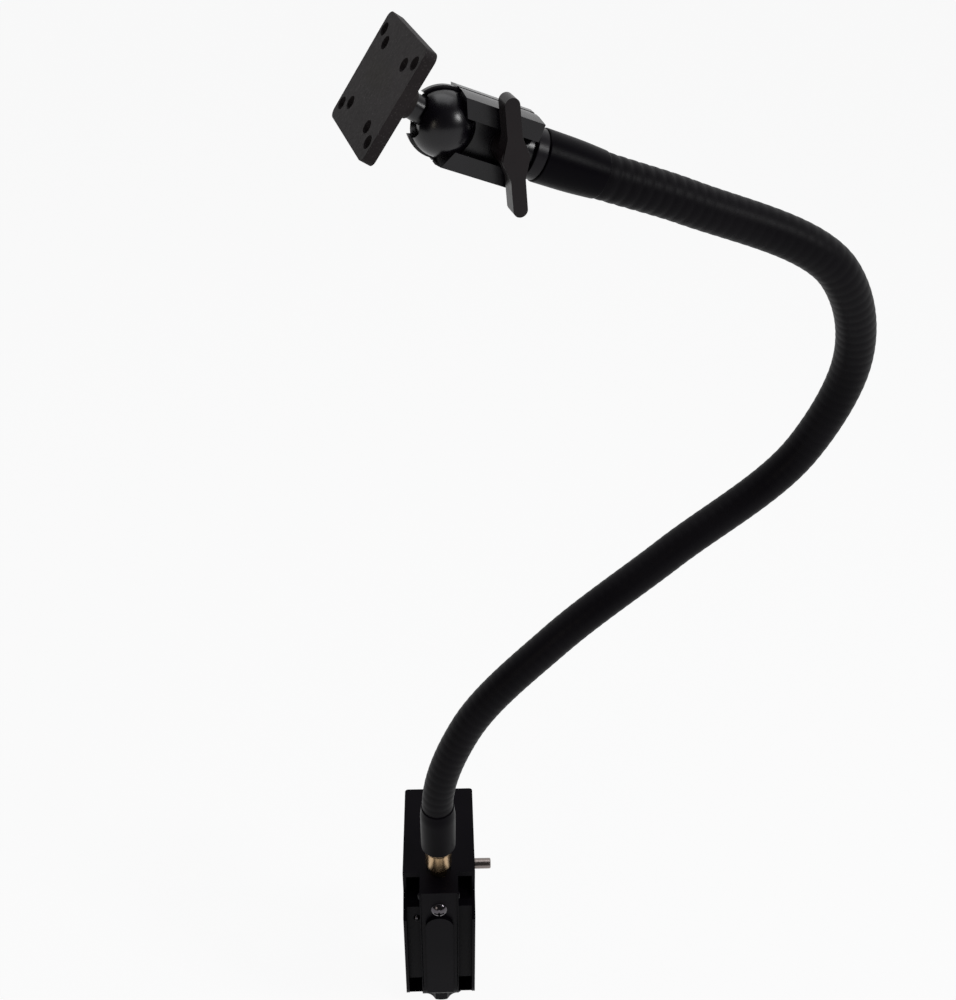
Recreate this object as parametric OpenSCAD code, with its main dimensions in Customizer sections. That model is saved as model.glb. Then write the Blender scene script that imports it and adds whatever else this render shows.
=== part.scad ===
// Flexible clamp arm: a table clamp, a gooseneck with a ribbed sheath, and a ball joint with a drilled plate.
// Millimetres. The origin is on the arm's swivel axis, where the upper jaw's pad meets the table top.
// +Z is up, -Y is the spine of the clamp, +Y reaches over the table.

/* [Clamp body] */
// Width of the clamp body
body_w = 44.5; // [36:0.5:52]
// Height of the upper jaw's top face over the table top
jaw_top = 25; // [22:0.5:32]
// Reach of the jaws from the swivel axis to their far end
jaw_reach = 62.5; // [50:0.5:80]
// Distance from the swivel axis to the front edge of the top plate
lip_y = 3; // [2:0.5:5]
// Distance from the swivel axis to the face at the back of the throat
throat_y = 6; // [5.5:0.5:8]
// Opening between the upper jaw's pad and the lower jaw
throat_h = 66; // [56:1:90]
// Radius of the throat's corners
throat_r = 3; // [1:0.5:6]
// Height of the lower jaw
lower_h = 20; // [16:1:28]
// Distance from the swivel axis to the front of the spine's column
column_y = 18; // [16:0.5:22]
// Width of the column
column_w = 23.5; // [20:0.5:27]
// Thickness of the side walls
side_wall = 2; // [1.5:0.25:3]
// Distance from the swivel axis to the front edge of the side walls down the spine
side_y = 17; // [12:0.5:17.5]
// Thickness of the top plate and of the lower jaw's plates
plate_wall = 4; // [3:0.5:5]
// Thickness of the web behind the throat
web_wall = 4.5; // [3:0.5:6]
// Thickness of the plate under the upper jaw
seat_wall = 3; // [2.5:0.5:5]
// Radius of the body's corners in plan
corner_r = 2; // [1:0.5:4]
// Radius of the spine's lower front corner
heel_r = 14; // [8:1:18]
// Radius of the bead down each front edge of the column
bead_r = 0.9; // [0.5:0.1:1.5]

/* [Jaw pad] */
// Thickness of the rubber pad under the upper jaw
pad_t = 2; // [1.5:0.25:3]
// Distance from the body's sides to the pad
pad_inset = 2.5; // [1:0.5:5]

/* [Swivel] */
// Diameter of the swivel stud
stud_d = 10; // [8:0.5:12]
// Running clearance all round the stud
stud_gap = 0.08; // [0.02:0.01:0.1]
// Width of the counterbore round the stud
stud_sink_d = 15; // [12.5:0.5:18]
// Depth of the counterbore round the stud
stud_sink_h = 2; // [1:0.5:2]
// Diameter of the stud's groove
groove_d = 8; // [6:0.5:9]
// Diameter of the locking pin
pin_d = 6.3; // [4:0.1:7]
// Height of the locking pin over the table top
pin_z = 19.5; // [12:0.5:26]
// Length of the locking pin past the side wall
pin_out = 10; // [6:0.5:14]
// Clearance round the locking pin
pin_gap = 0.05; // [0.02:0.01:0.1]

/* [Clamp screws] */
// Diameter of the locking screw's head
lock_head_d = 10.7; // [8:0.1:12]
// Height of the locking screw over the table top
lock_z = 9.4; // [7:0.2:12]
// Diameter of the locking screw
lock_d = 6; // [4:0.5:8]
// Width of the raised panel down the column
panel_w = 17; // [12:0.5:20]
// Top of the raised panel under the locking screw's axis
panel_drop = 5.8; // [5:0.2:12]
// Thickness of the raised panel
panel_t = 2; // [1:0.25:3]
// Diameter of the small side screw's head
side_head_d = 4.4; // [4:0.2:6]
// Height of the small side screw
side_screw_z = -8; // [-30:1:0]

/* [Clamp spindle] */
// Distance from the swivel axis to the spindle's axis
spindle_y = 33; // [24:1:42]
// Diameter of the spindle
spindle_d = 10; // [8:0.5:12]
// Running clearance all round the spindle
spindle_gap = 0.08; // [0.02:0.01:0.1]
// Length of the spindle from the foot's ball to its lower end
spindle_len = 96; // [90:1:130]
// Diameter of the threaded bush
bush_d = 16; // [14:0.5:20]
// Height of the bush's flange under the lower jaw
bush_flange_h = 2; // [1:0.5:4]
// Gap from the pad to the foot's face, as the arm is shown
jaw_gap = 30; // [10:1:44]
// Diameter of the foot
foot_d = 26; // [20:1:32]
// Thickness of the foot's rubber face
foot_face_t = 2; // [1:0.25:3]
// Thickness of the foot's disc
foot_disc_t = 5; // [4:0.5:8]
// Diameter of the ball at the spindle's top
tip_d = 9; // [7:0.5:10]
// Diameter of the turning knob
knob_d = 36; // [28:1:44]
// Height of the turning knob
knob_h = 18; // [14:1:26]
// Number of finger hollows round the turning knob
knob_lobes = 6; // [4:1:8]

/* [Arm] */
// Outer diameter of the ribbed sheath
sheath_d = 18.5; // [16:0.5:22]
// Depth of the grooves between the ribs
rib_depth = 0.6; // [0.3:0.1:1]
// Distance from rib to rib along the arm
rib_pitch = 5.2; // [4:0.1:7]
// Bore of the sheath
sheath_bore = 13.2; // [12:0.1:15]
// Clearance between the core and the sheath
core_gap = 0.1; // [0.05:0.05:0.3]
// Bore of the flexible core
core_bore = 8; // [5:0.5:9]
// Diameter of the sleeve at the arm's lower end
lower_collar_d = 21; // [20:0.5:25]
// Length of the sleeve at the arm's lower end
lower_collar_len = 33.7; // [28:0.1:45]
// Diameter of the lower sleeve at its upper end
lower_collar_end_d = 19.4; // [19:0.2:22]
// Length of the taper at the lower sleeve's upper end
lower_collar_taper = 6; // [3:0.5:10]
// Diameter of the sleeve at the arm's upper end, next to the ring
upper_collar_d = 20.6; // [19:0.2:24]
// Diameter of the sleeve at the arm's upper end, next to the sheath
upper_collar_end_d = 19; // [18.6:0.2:22]
// Length of the sleeve at the arm's upper end
upper_collar_len = 27.6; // [20:0.1:36]
// Diameter of the adapter's body
adapter_d = 15.8; // [14:0.2:18]
// Height of the adapter's body over the top plate
adapter_z = 6; // [4:0.5:10]
// Length of the adapter's body
adapter_len = 12.5; // [8:0.5:18]
// Diameter of the adapter's rim
rim_d = 19; // [17:0.5:20]
// Height of the adapter's rim
rim_h = 3.8; // [3:0.1:4.5]
// Height of the cone that leads from the adapter's body to its rim
rim_cone_h = 2.6; // [1.5:0.1:2.8]
// Depth to which the core is pressed into each end fitting
core_seat = 10; // [6:1:12]

/* [Ball joint] */
// Place of the ball's centre
ball_at = [6.9, -37.8, 486];
// Turn of the socket about its own length, its pitch and its yaw
head_turn = [93, 21, 16];
// Diameter of the ball
ball_d = 19; // [17:0.5:20]
// Running clearance all round the ball
ball_gap = 0.08; // [0.02:0.01:0.1]
// Height of the socket across its rails
socket_h = 27.8; // [25:0.2:32]
// Amount by which each rail leans in from the flange to its outer face
rail_taper = 0.9; // [0.4:0.1:1.5]
// Thickness of the socket's two halves together
socket_t = 21; // [20:0.5:26]
// Gap between the socket's two halves
split_gap = 1.6; // [1:0.1:3]
// Radius of the domes over the ball
dome_r = 12.2; // [12:0.1:13.5]
// Length of the socket from the ball's centre to its block end
socket_len = 33.6; // [31:0.1:40]
// Diameter of the rim round the ball on the arm's half of the socket
rim_round_d = 26.6; // [25:0.2:27.4]
// Thickness of that rim
rim_round_t = 2; // [1:0.25:3]
// Height of the slot in which the ball's stud leans
slot_h = 13; // [12.4:0.2:15]
// Width of the channel between the rails
channel_w = 12.6; // [12:0.2:16]
// Thickness of the flange along the split
flange_t = 4; // [3:0.25:5]
// Start of the rails at their outer edge, from the ball's centre
rail_x = 1; // [0:0.5:8]
// Slant of the rails' start, from the outer edge to the channel
rail_slant = 3.6; // [1:0.2:6]
// Chamfer on the socket's block end
block_chamfer = 1; // [0.5:0.1:4]
// Greatest lean of the ball's stud from the socket's axis
lean_max = 16; // [14:1:24]
// Diameter of the stud that carries the ball
neck_d = 9.6; // [8:0.2:10]
// Distance from the socket's block end back to the clamping bolt
bolt_back = 10; // [9.4:0.1:11]
// Diameter of the clamping bolt
bolt_d = 6; // [5:0.5:6]
// Distance across the flats of the clamping bolt's head
bolt_af = 10; // [9:0.5:11]
// Height of the clamping bolt's head
bolt_head_h = 4; // [3:0.5:5]
// Diameter of the ring between socket and sleeve
ring_d = 19.6; // [18:0.2:22]
// Width of the ring
ring_w = 5; // [2:0.5:7]
// Diameter of the socket's neck
socket_neck_d = 16; // [14:0.5:18]
// Length of the socket's neck
socket_neck_len = 1.4; // [1:0.1:8]

/* [Wing knob] */
// Diameter of the wing knob's hub
hub_d = 10.6; // [10:0.2:12.4]
// Height of the wing knob's top over the split
hub_top = 20.4; // [20.4:0.2:24]
// Span of the wings from tip to tip
wing_span = 44; // [40:1:56]
// Width of the wings at their tips
wing_tip_w = 5.6; // [4:0.2:7]
// Width of the wings over the hub's centre
wing_root_w = 10.4; // [8:0.2:12]
// Distance from the hub's centre over which the wings narrow
wing_flare = 7.8; // [6:0.2:12]
// Depth of the wings along the bolt
wing_t = 7.8; // [5:0.2:7.8]
// Direction of the wings, from the socket's length
wing_turn = 118; // [0:1:180]

/* [Mounting plate] */
// Turn of the plate about its own axis, its pitch and its yaw
plate_turn = [98, 32.5, 21.4];
// Long side of the plate
plate_l = 46; // [44:0.5:56]
// Short side of the plate
plate_w = 43; // [36:0.5:50]
// Thickness of the plate
plate_t = 4.5; // [3:0.25:6]
// Corner radius of the plate
plate_r = 3; // [1:0.5:5]
// Distance from the ball's centre to the plate's front face
plate_x = 29; // [26:0.5:36]
// Long side of the outer hole pattern
outer_l = 38; // [36:0.5:40]
// Short side of the outer hole pattern
outer_w = 30; // [28:0.5:32]
// Side of the inner, square hole pattern
inner_s = 24; // [22:0.5:25]
// Diameter of the plate's holes
plate_hole_d = 5; // [4:0.1:5.5]
// Diameter of the boss behind the plate, at the plate
boss_d = 13; // [11:0.5:15]
// Diameter of the boss behind the plate, at its end
boss_end_d = 11; // [9.8:0.2:12]
// Distance from the ball's centre to the boss
boss_x = 14.6; // [13.5:0.1:16]
// Diameter of the spigot that holds the plate
spigot_d = 6; // [5:0.5:7]
// Running clearance all round the spigot
spigot_gap = 0.06; // [0.02:0.01:0.1]

/* [Hidden] */
$fn = 64;
// Overlap that keeps cuts clear of the faces that they pass through
cut = 1;
// Small chamfer on turned and moulded ends
bevel = 0.6;

// Heights in the clamp
body_half = body_w / 2;
wall_in = body_half - side_wall;
column_half = column_w / 2;
jaw_under = pad_t;
slope_low = jaw_under - 4;
slope_high = jaw_under + 6;
lower_top = -throat_h;
lower_under = lower_top - lower_h;
body_h = jaw_top - lower_under;
pocket_end = jaw_reach - plate_wall;
stud_floor = jaw_under + seat_wall;
pin_y = groove_d / 2 + pin_gap + pin_d / 2;
pin_in = column_half - 1.5;
side_x = column_half + side_head_d / 2 + 0.1;
web_y = -throat_y - web_wall;

// Heights in the foot and on the spindle
foot_top = -jaw_gap;
tip_z = foot_top - foot_face_t - foot_disc_t - 1;
spindle_low = tip_z - spindle_len;
knob_top = spindle_low + knob_h - 4;
foot_hub_h = 7;
foot_low = foot_top - foot_face_t - foot_disc_t - foot_hub_h;
tip_neck_d = tip_d * 0.62;

// Heights up the arm's lower end
adapter_low = jaw_top + adapter_z;
rim_low = adapter_low + adapter_len;
collar_low = rim_low + rim_h;
route_start = [0, 0, collar_low + lower_collar_len];
tail_d = 16.8;
tail_len = 16;
core_d = sheath_bore - 2 * core_gap;

// Places along the socket's length
ball_r = ball_d / 2;
cup_r = ball_r + ball_gap;
rail_h = socket_h / 2;
half_t = socket_t / 2;
bolt_x = socket_len - bolt_back;
ring_x = socket_len + socket_neck_len;
sleeve_x = ring_x + ring_w;
sleeve_end = sleeve_x + upper_collar_len;
fitting_pin_d = 9;
fitting_waist_d = 12;
floor_z = split_gap / 2 + flange_t;
washer_t = 0.8;
spring_d = 9;
spring_seat = 3.2;
spring_wire = 0.9;
spring_coils = 2.5;

// Direction of the socket's length, away from the ball
head_dir = [cos(head_turn[1]) * cos(head_turn[2]), cos(head_turn[1]) * sin(head_turn[2]), -sin(head_turn[1])];
route_end = ball_at + sleeve_end * head_dir;

// The arm's centre line: hand-placed knots between the two sleeves
knots = [route_start, [16, 2.5, 139.5], [64.5, 9, 199], [125, 25, 244.5], [191, 37, 301.5],
    [204, 30, 351.5], [181.5, 9, 408.5], [106.5, -8, 446.5], route_end];
last_knot = len(knots) - 1;
sides = 14;
steps = 20;

function unit(v) = v / norm(v);
// Length of the chord after knot i
function chord(i) = norm(knots[i + 1] - knots[i]);
// Direction of the centre line at knot i
function knot_dir(i) = i == 0 ? [0, 0, 1]
    : i == last_knot ? -head_dir
    : let (c = chord(i), b = chord(i - 1))
        ((knots[i + 1] - knots[i]) / c * b + (knots[i] - knots[i - 1]) / b * c) / (b + c);
// Point on the stretch after knot i, at a share u of it
function on_curve(i, u) = let (c = chord(i), u2 = u * u, u3 = u2 * u)
    (2 * u3 - 3 * u2 + 1) * knots[i] + (u3 - 2 * u2 + u) * c * knot_dir(i)
    + (3 * u2 - 2 * u3) * knots[i + 1] + (u3 - u2) * c * knot_dir(i + 1);

fine = [for (i = [0 : last_knot - 1], k = [0 : steps - 1]) on_curve(i, k / steps), knots[last_knot]];
function run_sums(n, i = 0, sum = 0) = i > n ? []
    : let (s = i == 0 ? 0 : sum + norm(fine[i] - fine[i - 1])) concat([s], run_sums(n, i + 1, s));
runs = run_sums(len(fine) - 1);
arm_len = runs[len(fine) - 1];
along_x = [for (i = [0 : len(fine) - 1]) [runs[i], fine[i][0]]];
along_y = [for (i = [0 : len(fine) - 1]) [runs[i], fine[i][1]]];
along_z = [for (i = [0 : len(fine) - 1]) [runs[i], fine[i][2]]];
ribs = round(arm_len / rib_pitch);
half_rib = arm_len / ribs / 2;

// Point and direction of the centre line at a distance s from its lower end
function arm_point(s) = s < 0 ? route_start + [0, 0, s]
    : s > arm_len ? route_end - (s - arm_len) * head_dir
    : [lookup(s, along_x), lookup(s, along_y), lookup(s, along_z)];
function arm_dir(s) = s <= 0.01 ? [0, 0, 1]
    : s >= arm_len - 0.01 ? -head_dir
    : unit(arm_point(s + 1) - arm_point(s - 1));
// One ring of points round the centre line
function arm_ring(s, r) = let (t = arm_dir(s), p = arm_point(s), side = unit(cross([0, 1, 0], t)),
    up = cross(t, side))
    [for (k = [0 : sides - 1]) p + r * (cos(360 * k / sides) * side + sin(360 * k / sides) * up)];
// Triangles between two rings that start at points a and b
function band(a, b) = [for (k = [0 : sides - 1]) let (n = (k + 1) % sides)
    each [[a + k, b + k, b + n], [a + k, b + n, a + n]]];

// Closed tube from outer rings to inner rings, each a list of [distance, radius] along the arm
module swept_tube(outer, inner) {
    rings = concat(outer, inner);
    last = len(rings) - 1;
    points = [for (g = rings) each arm_ring(g[0], g[1])];
    faces = [for (i = [0 : last]) each band(i * sides, (i == last ? 0 : i + 1) * sides)];
    polyhedron(points, faces, convexity = 10);
}

// Places a shape in the socket's frame: X away from the ball along the arm, Z along the bolt
module in_head() {
    translate(ball_at) rotate(head_turn) children();
}

// Places a shape in the plate's frame: X from the plate to the ball
module in_plate() {
    translate(ball_at) rotate(plate_turn) children();
}

// Turns a shape made up the Z axis to lie along X from a place x
module along(x) {
    translate([x, 0, 0]) rotate([0, 90, 0]) children();
}

// Round bar with a small chamfer at both ends
module turned(d, h, c = bevel) {
    r = d / 2;
    rotate_extrude() polygon([[0, 0], [r - c, 0], [r, c], [r, h - c], [r - c, h], [0, h]]);
}

// Rectangle with its corner at the origin and its far corners rounded
module rounded(w, h, r) {
    translate([r, r]) square([w - 2 * r, h - 2 * r]);
    translate([r, 0]) square([w - 2 * r, h]);
    translate([0, r]) square([w, h - 2 * r]);
    for (x = [r, w - r], y = [r, h - r]) translate([x, y]) circle(r);
}

// Side view of the C, as Y and Z, with its front edge at a distance front and its top step at lip
module c_profile(lip, front) {
    difference() {
        union() {
            translate([-front, lower_under + heel_r]) square([front + jaw_reach, jaw_under - lower_under]);
            translate([-front + heel_r, lower_under]) square([jaw_reach + front - heel_r, lower_h]);
            translate([-front + heel_r, lower_under + heel_r]) circle(heel_r);
            translate([-lip, 0]) square([lip + jaw_reach, jaw_top]);
            polygon([[-lip, slope_high], [-lip, lower_under + heel_r], [-front, lower_under + heel_r],
                [-front, slope_low]]);
        }
        translate([-throat_y, lower_top])
            rounded(jaw_reach + throat_y + throat_r + cut, throat_h + jaw_under, throat_r);
        translate([-front - cut, slope_low]) polygon([[0, 0], [cut, 0],
            [front - lip + cut, slope_high - slope_low], [front - lip + cut, jaw_top], [0, jaw_top]]);
    }
}

// Extrudes a side view across the body's width
module across(w) {
    translate([-w / 2, 0, 0]) rotate([90, 0, 90]) linear_extrude(w) children();
}

module clamp_body() {
    color([0.13, 0.12, 0.13]) difference() {
        union() {
            intersection() {
                across(body_w) c_profile(lip_y, side_y);
                translate([-body_half, -column_y, lower_under - cut]) linear_extrude(body_h + 2 * cut)
                    rounded(body_w, column_y + jaw_reach, corner_r);
            }
            across(column_w) c_profile(column_y, column_y);
            for (x = [-column_half, column_half])
                translate([x, -column_y, lower_under + heel_r]) cylinder(r = bead_r, h = body_h - heel_r);
            // Raised panel with an arched top, down the column under the locking screw
            translate([0, -column_y, 0]) rotate([90, 0, 0]) linear_extrude(panel_t) {
                translate([0, lock_z - panel_drop - panel_w / 2]) circle(d = panel_w);
                translate([-panel_w / 2, lower_under + heel_r]) square([panel_w,
                    lock_z - panel_drop - panel_w / 2 - lower_under - heel_r]);
            }
        }
        // Open pockets on both sides of the column
        for (x = [column_half, -wall_in]) translate([x, 0, 0]) rotate([90, 0, 90])
            linear_extrude(wall_in - column_half)
                polygon([[-column_y - cut, jaw_top - plate_wall], [pocket_end, jaw_top - plate_wall],
                    [pocket_end, stud_floor], [web_y, stud_floor], [web_y, lower_top - plate_wall],
                    [pocket_end, lower_top - plate_wall], [pocket_end, lower_under + plate_wall],
                    [-column_y - cut, lower_under + plate_wall]]);
        translate([0, 0, stud_floor]) cylinder(d = stud_d + 2 * stud_gap, h = jaw_top);
        translate([0, 0, jaw_top - stud_sink_h]) cylinder(d = stud_sink_d, h = stud_sink_h + cut);
        translate([-pin_in, pin_y, pin_z]) rotate([0, 90, 0]) cylinder(d = pin_d + 2 * pin_gap, h = body_w);
        translate([0, -column_y - cut, lock_z]) rotate([-90, 0, 0]) cylinder(d = lock_d, h = column_y);
        translate([-side_x, web_y - cut, side_screw_z]) rotate([-90, 0, 0]) cylinder(d = 3, h = cut + 3);
        translate([0, spindle_y, lower_under - cut]) cylinder(d = bush_d, h = lower_h + 2 * cut);
    }
}

module jaw_pad() {
    w = body_w - 2 * pad_inset;
    color([0.08, 0.08, 0.08]) translate([-w / 2, -throat_y + throat_r, 0])
        linear_extrude(pad_t) rounded(w, jaw_reach + throat_y - throat_r - pad_inset, corner_r);
}

// Cross-recess screw that holds the swivel still
module lock_screw() {
    dome = lock_head_d * 0.3;
    lock_len = column_y - stud_d / 2 - stud_gap - 0.1;
    color([0.78, 0.78, 0.8]) translate([0, -column_y, lock_z]) rotate([90, 0, 0]) difference() {
        union() {
            intersection() {
                translate([0, 0, dome - dome_ball(lock_head_d, dome)]) sphere(dome_ball(lock_head_d, dome));
                cylinder(d = lock_head_d, h = dome + cut);
            }
            translate([0, 0, -lock_len]) cylinder(d = lock_d, h = lock_len + 0.1);
        }
        for (a = [0, 90]) rotate(a) translate([-lock_head_d * 0.28, -0.6, dome * 0.35])
            cube([lock_head_d * 0.56, 1.2, dome]);
    }
}

// Radius of the ball whose cap is h high over a circle of diameter d
function dome_ball(d, h) = (d * d / 4 + h * h) / (2 * h);

module side_screw() {
    dome = side_head_d * 0.35;
    color([0.75, 0.75, 0.77]) translate([-side_x, web_y, side_screw_z]) rotate([90, 0, 0]) difference() {
        union() {
            intersection() {
                translate([0, 0, dome - dome_ball(side_head_d, dome)]) sphere(dome_ball(side_head_d, dome));
                cylinder(d = side_head_d, h = dome + cut);
            }
            translate([0, 0, -3]) cylinder(d = 3, h = 3.5);
        }
        for (a = [0, 90]) rotate(a) translate([-side_head_d * 0.3, -0.35, dome * 0.35])
            cube([side_head_d * 0.6, 0.7, dome]);
    }
}

module cross_pin() {
    color([0.72, 0.72, 0.73]) translate([-pin_in + pin_gap, pin_y, pin_z]) rotate([0, 90, 0])
        turned(pin_d, pin_in - pin_gap + body_half + pin_out, 0.5);
}

module threaded_bush() {
    color([0.7, 0.7, 0.72]) translate([0, spindle_y, 0]) difference() {
        union() {
            translate([0, 0, lower_under]) cylinder(d = bush_d, h = lower_h);
            translate([0, 0, lower_under - bush_flange_h]) turned(bush_d + 4, bush_flange_h, 0.5);
        }
        translate([0, 0, lower_under - bush_flange_h - cut])
            cylinder(d = spindle_d + 2 * spindle_gap, h = lower_h + bush_flange_h + 2 * cut);
    }
}

module foot_cup() {
    r = foot_d / 2;
    socket = tip_d / 2 + spindle_gap;
    hub = socket + 2.8;
    top = foot_top - foot_face_t;
    disc_low = top - foot_disc_t;
    color([0.16, 0.15, 0.16]) translate([0, spindle_y, 0]) difference() {
        rotate_extrude() polygon([[0, foot_low], [hub - bevel, foot_low], [hub, foot_low + bevel],
            [hub, disc_low], [r - 1, disc_low], [r, disc_low + 1], [r, top], [0, top]]);
        translate([0, 0, tip_z]) sphere(socket);
        translate([0, 0, foot_low - cut]) cylinder(r = socket, h = tip_z - foot_low + cut);
        translate([0, 0, foot_low + 1]) cylinder(r = socket + 0.8, h = 1.2);
    }
}

module foot_face() {
    color([0.08, 0.08, 0.08]) translate([0, spindle_y, foot_top - foot_face_t])
        turned(foot_d - 1, foot_face_t, 0.4);
}

// Spring-steel ring that keeps the spindle's ball in the foot
module foot_ring() {
    socket = tip_d / 2 + spindle_gap;
    color([0.5, 0.5, 0.5]) translate([0, spindle_y, foot_low + 1.1]) difference() {
        cylinder(r = socket + 0.7, h = 1);
        translate([0, 0, -cut]) cylinder(r = tip_neck_d / 2 + 0.2, h = 1 + 2 * cut);
        translate([0, -0.6, -cut]) cube([socket + 2, 1.2, 1 + 2 * cut]);
    }
}

module clamp_spindle() {
    body_top = foot_low - 2;
    color([0.7, 0.7, 0.72]) translate([0, spindle_y, 0]) {
        translate([0, 0, tip_z]) sphere(d = tip_d);
        translate([0, 0, body_top - cut]) cylinder(d = tip_neck_d, h = tip_z - body_top + cut);
        translate([0, 0, spindle_low]) turned(spindle_d, body_top - spindle_low, 1);
    }
}

module turning_knob() {
    color([0.12, 0.12, 0.12]) translate([0, spindle_y, knob_top - knob_h]) difference() {
        turned(knob_d, knob_h, 1.5);
        for (k = [0 : knob_lobes - 1]) rotate(360 * k / knob_lobes) translate([knob_d * 0.62, 0, -cut])
            cylinder(r = knob_d * 0.2, h = knob_h + 2 * cut);
        translate([0, 0, spindle_low - knob_top + knob_h]) cylinder(d = spindle_d, h = knob_h);
    }
}

// Turned adapter: stud with a groove for the pin, body, rim, and a socket for the core's end
module stud_adapter() {
    r = stud_d / 2;
    ra = adapter_d / 2;
    rr = rim_d / 2;
    rt = tail_d / 2;
    g = groove_d / 2;
    g_half = pin_d / 2 + 0.15;
    taper = adapter_low - (ra - r);
    tail_top = collar_low + tail_len;
    color([0.66, 0.46, 0.26]) difference() {
        rotate_extrude() polygon([[0, stud_floor], [r - bevel, stud_floor], [r, stud_floor + bevel],
            [r, pin_z - g_half], [g, pin_z - g_half], [g, pin_z + g_half], [r, pin_z + g_half],
            [r, taper], [ra, adapter_low], [ra, rim_low], [rr, rim_low + rim_cone_h],
            [rr, collar_low], [rt, collar_low], [rt, tail_top], [0, tail_top]]);
        translate([0, 0, tail_top - core_seat]) cylinder(d = core_d, h = core_seat + cut);
    }
}

module lower_collar() {
    ro = lower_collar_d / 2;
    re = lower_collar_end_d / 2;
    rt = tail_d / 2;
    rc = sheath_bore / 2;
    top = collar_low + lower_collar_len;
    tail_top = collar_low + tail_len;
    color([0.14, 0.14, 0.14]) {
        rotate_extrude() polygon([[rt, collar_low], [ro - 1, collar_low], [ro, collar_low + 1.5],
            [ro, top - lower_collar_taper], [re, top - 0.8], [re - 0.6, top], [rc, top], [rc, tail_top],
            [rt, tail_top]]);
    }
}

// Flexible steel core, held in the end fittings
module gooseneck_core() {
    every = 4;
    seat_low = -(lower_collar_len - tail_len) - core_seat;
    seat_high = arm_len + upper_collar_len - tail_len + core_seat;
    stations = [seat_low, for (i = [0 : every : 2 * ribs - 1]) i * half_rib, arm_len, seat_high];
    color([0.55, 0.55, 0.56]) swept_tube([for (s = stations) [s, core_d / 2]],
        [for (i = [len(stations) - 1 : -1 : 0]) [stations[i], core_bore / 2]]);
}

// Ribbed sheath: a crest and a groove for each rib
module gooseneck_sheath() {
    every = 4;
    crest = sheath_d / 2;
    stations = [for (i = [0 : every : 2 * ribs - 1]) i * half_rib, arm_len];
    color([0.14, 0.14, 0.14]) swept_tube([for (i = [0 : 2 * ribs])
            [i * half_rib, crest - (i % 2 == 0 ? rib_depth : 0)]],
        [for (i = [len(stations) - 1 : -1 : 0]) [stations[i], sheath_bore / 2]]);
}

module upper_collar() {
    r1 = upper_collar_d / 2;
    r2 = upper_collar_end_d / 2;
    rt = tail_d / 2;
    rc = sheath_bore / 2;
    l = upper_collar_len;
    color([0.14, 0.14, 0.14]) in_head() along(sleeve_x) rotate_extrude()
        polygon([[rt, 0], [r1 - 0.8, 0], [r1, 0.8], [r1 - 0.2, l * 0.6], [r2, l - 2], [r2 - 0.6, l], [rc, l],
            [rc, tail_len], [rt, tail_len]]);
}

// Turned fitting between the socket and the core
module head_fitting() {
    pin_len = socket_neck_len + 3;
    all_len = pin_len + ring_w + tail_len;
    rp = fitting_pin_d / 2;
    rw = fitting_waist_d / 2;
    rt = tail_d / 2;
    color([0.6, 0.6, 0.62]) in_head() along(ring_x - pin_len) difference() {
        rotate_extrude() polygon([[0, 0], [rp - bevel, 0], [rp, bevel], [rp, pin_len], [rw, pin_len],
            [rw, pin_len + ring_w], [rt, pin_len + ring_w], [rt, all_len], [0, all_len]]);
        translate([0, 0, all_len - core_seat]) cylinder(d = core_d, h = core_seat + cut);
    }
}

module ferrule_ring() {
    r = ring_d / 2;
    color([0.12, 0.12, 0.12]) in_head() along(ring_x) rotate_extrude() polygon([[fitting_waist_d / 2, 0],
        [r - bevel, 0], [r, bevel], [r, ring_w - bevel], [r - bevel, ring_w], [fitting_waist_d / 2, ring_w]]);
}

// Side view of the socket's straight part over the split, as height and Y, with the rails leaning in
module rail_section() {
    low = split_gap / 2;
    out = rail_h - rail_taper;
    polygon([[-low, -rail_h], [-floor_z, -rail_h], [-half_t, -out], [-half_t, out], [-floor_z, rail_h],
        [-low, rail_h]]);
}

// Outline of one rail: slanted start, straight side and chamfered end
module rail_outline() {
    c = block_chamfer;
    inner = channel_w / 2;
    polygon([[rail_x, -rail_h], [socket_len - c, -rail_h], [socket_len, c - rail_h], [socket_len, -inner],
        [rail_x + rail_slant, -inner]]);
}

// Space that the ball's stud sweeps as it leans, with the ball's own cup
module ball_space() {
    edge = neck_d / 2 / cos(lean_max) + 0.3;
    sphere(cup_r);
    intersection() {
        rotate([0, -90, 0]) cylinder(r1 = edge, r2 = edge + 2 * dome_r * tan(lean_max), h = 2 * dome_r);
        translate([-2 * dome_r, -2 * dome_r, -slot_h / 2]) cube([2 * dome_r, 4 * dome_r, slot_h]);
    }
}

// One half of the socket, lying over the split plane: flange, dome and the two rails
module socket_half() {
    low = split_gap / 2;
    difference() {
        union() {
            intersection() {
                sphere(dome_r);
                translate([-dome_r, -dome_r, low]) cube(2 * dome_r);
            }
            intersection() {
                along(0) linear_extrude(socket_len) rail_section();
                union() {
                    translate([0, 0, low]) linear_extrude(flange_t) {
                        rail_outline();
                        mirror([0, 1]) rail_outline();
                        translate([rail_x + rail_slant, -channel_w]) square([socket_len - rail_x - rail_slant,
                            2 * channel_w]);
                        translate([0, -dome_r * 0.8]) square([2 * rail_x + rail_slant, dome_r * 1.6]);
                    }
                    translate([0, 0, low]) linear_extrude(half_t - low) {
                        rail_outline();
                        mirror([0, 1]) rail_outline();
                    }
                }
            }
        }
        ball_space();
    }
}

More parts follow.
